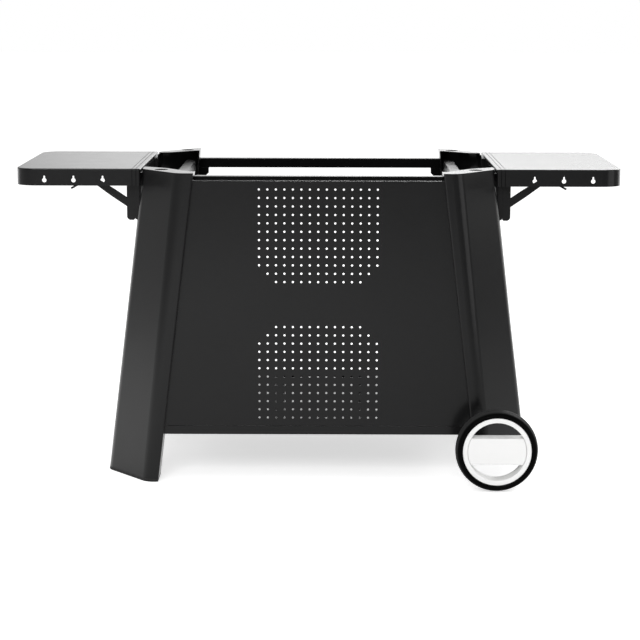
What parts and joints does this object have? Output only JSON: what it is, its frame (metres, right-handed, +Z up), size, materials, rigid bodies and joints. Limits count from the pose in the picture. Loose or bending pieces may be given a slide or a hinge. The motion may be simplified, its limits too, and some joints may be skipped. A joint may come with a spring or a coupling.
{
  "type": "outdoor pizza oven table",
  "caption": "Black steel cart with splayed folded legs, a perforated front panel, a bottom shelf, folding side tables and wheels, made to carry a pizza oven.",
  "frame": {"origin": "on the floor, under the middle of the overall box", "axes": "+X to the right seen from the front panel, towards the wheels; +Y to the rear; +Z up"},
  "size_m": [1.46, 0.918, 0.743],
  "materials": {
    "black_coated_steel": "satin black powder coat, very fine texture",
    "zinc_plated_steel": "bright zinc plate",
    "black_rubber": "solid black rubber, semi-matt",
    "white_plastic": "white moulded plastic, satin gloss",
    "black_plastic": "black moulded plastic, matt"
  },
  "bodies": {
    "root": {"axle": "zinc_plated_steel", "axle_nuts": "zinc_plated_steel", "axle_tube": "black_coated_steel", "axle_washers": "zinc_plated_steel", "bottle_cradle": "black_coated_steel", "bottom_shelf": "black_coated_steel", "brace_pins": "black_coated_steel", "bracket_mount_front_left": "black_coated_steel", "bracket_mount_front_right": "black_coated_steel", "bracket_mount_rear_left": "black_coated_steel", "bracket_mount_rear_right": "black_coated_steel", "bracket_post_front_left": "black_coated_steel", "bracket_post_front_right": "black_coated_steel", "bracket_post_rear_left": "black_coated_steel", "bracket_post_rear_right": "black_coated_steel", "bracket_screws": "black_coated_steel", "fold_pins": "black_coated_steel", "foot_glide_front": "black_plastic", "foot_glide_rear": "black_plastic", "frame_screws": "zinc_plated_steel", "front_panel": "black_coated_steel", "front_rail": "black_coated_steel", "leg_cap_front_left": "black_coated_steel", "leg_cap_front_right": "black_coated_steel", "leg_cap_rear_left": "black_coated_steel", "leg_cap_rear_right": "black_coated_steel", "leg_front_left": "black_coated_steel", "leg_front_right": "black_coated_steel", "leg_rear_left": "black_coated_steel", "leg_rear_right": "black_coated_steel", "rear_gussets": "black_coated_steel", "rear_rail": "black_coated_steel", "side_rail_left": "black_coated_steel", "side_rail_right": "black_coated_steel"},
    "table_left": {"side_table_left": "black_coated_steel", "bracket_arm_front_left": "black_coated_steel", "bracket_arm_rear_left": "black_coated_steel", "lever_pins_left": "black_coated_steel", "table_studs_left": "zinc_plated_steel"},
    "table_right": {"side_table_right": "black_coated_steel", "bracket_arm_front_right": "black_coated_steel", "bracket_arm_rear_right": "black_coated_steel", "lever_pins_right": "black_coated_steel", "table_studs_right": "zinc_plated_steel"},
    "brace_front_left": {"brace_front_left": "black_coated_steel"},
    "lever_front_left": {"release_lever_front_left": "black_coated_steel"},
    "brace_front_right": {"brace_front_right": "black_coated_steel"},
    "lever_front_right": {"release_lever_front_right": "black_coated_steel"},
    "brace_rear_left": {"brace_rear_left": "black_coated_steel"},
    "lever_rear_left": {"release_lever_rear_left": "black_coated_steel"},
    "brace_rear_right": {"brace_rear_right": "black_coated_steel"},
    "lever_rear_right": {"release_lever_rear_right": "black_coated_steel"},
    "wheel_front": {"wheel_tyre_front": "black_rubber", "wheel_hub_front": "white_plastic", "hub_cover_front": "white_plastic"},
    "wheel_rear": {"wheel_tyre_rear": "black_rubber", "wheel_hub_rear": "white_plastic", "hub_cover_rear": "white_plastic"}
  },
  "joints": [
    {"name": "table_left_fold", "type": "hinge", "parent": "root", "child": "table_left", "pos_m": [-0.4554, 0, 0.711], "axis": [0, -1, 0], "range_deg": [0, 84]},
    {"name": "table_right_fold", "type": "hinge", "parent": "root", "child": "table_right", "pos_m": [0.4554, 0, 0.711], "axis": [0, 1, 0], "range_deg": [0, 84]},
    {"name": "brace_front_left_swing", "type": "hinge", "parent": "root", "child": "brace_front_left", "pos_m": [-0.4569, -0.20404, 0.6528], "axis": [0, -1, 0], "range_deg": [0, 108]},
    {"name": "lever_front_left_press", "type": "hinge", "parent": "table_left", "child": "lever_front_left", "pos_m": [-0.5519, -0.21204, 0.733], "axis": [0, 1, 0], "range_deg": [0, 15], "stiffness_Nm_per_rad": 0.08, "springref_deg": -8.59},
    {"name": "brace_front_right_swing", "type": "hinge", "parent": "root", "child": "brace_front_right", "pos_m": [0.4569, -0.20404, 0.6528], "axis": [0, 1, 0], "range_deg": [0, 108]},
    {"name": "lever_front_right_press", "type": "hinge", "parent": "table_right", "child": "lever_front_right", "pos_m": [0.5519, -0.21204, 0.733], "axis": [0, -1, 0], "range_deg": [0, 15], "stiffness_Nm_per_rad": 0.08, "springref_deg": -8.59},
    {"name": "brace_rear_left_swing", "type": "hinge", "parent": "root", "child": "brace_rear_left", "pos_m": [-0.4569, 0.20404, 0.6528], "axis": [0, -1, 0], "range_deg": [0, 108]},
    {"name": "lever_rear_left_press", "type": "hinge", "parent": "table_left", "child": "lever_rear_left", "pos_m": [-0.5519, 0.21204, 0.733], "axis": [0, 1, 0], "range_deg": [0, 15], "stiffness_Nm_per_rad": 0.08, "springref_deg": -8.59},
    {"name": "brace_rear_right_swing", "type": "hinge", "parent": "root", "child": "brace_rear_right", "pos_m": [0.4569, 0.20404, 0.6528], "axis": [0, 1, 0], "range_deg": [0, 108]},
    {"name": "lever_rear_right_press", "type": "hinge", "parent": "table_right", "child": "lever_rear_right", "pos_m": [0.5519, 0.21204, 0.733], "axis": [0, -1, 0], "range_deg": [0, 15], "stiffness_Nm_per_rad": 0.08, "springref_deg": -8.59},
    {"name": "wheel_front_spin", "type": "hinge", "parent": "root", "child": "wheel_front", "pos_m": [0.42201, -0.435, 0.0975], "axis": [0, 1, 0], "continuous": true},
    {"name": "wheel_rear_spin", "type": "hinge", "parent": "root", "child": "wheel_rear", "pos_m": [0.42201, 0.435, 0.0975], "axis": [0, 1, 0], "continuous": true}
  ],
  "couplings": [
    {"joint": "brace_front_left_swing", "follows": "table_left_fold", "ratio": 1.2778},
    {"joint": "brace_front_right_swing", "follows": "table_right_fold", "ratio": 1.2778},
    {"joint": "brace_rear_left_swing", "follows": "table_left_fold", "ratio": 1.2778},
    {"joint": "brace_rear_right_swing", "follows": "table_right_fold", "ratio": 1.2778}
  ]
}
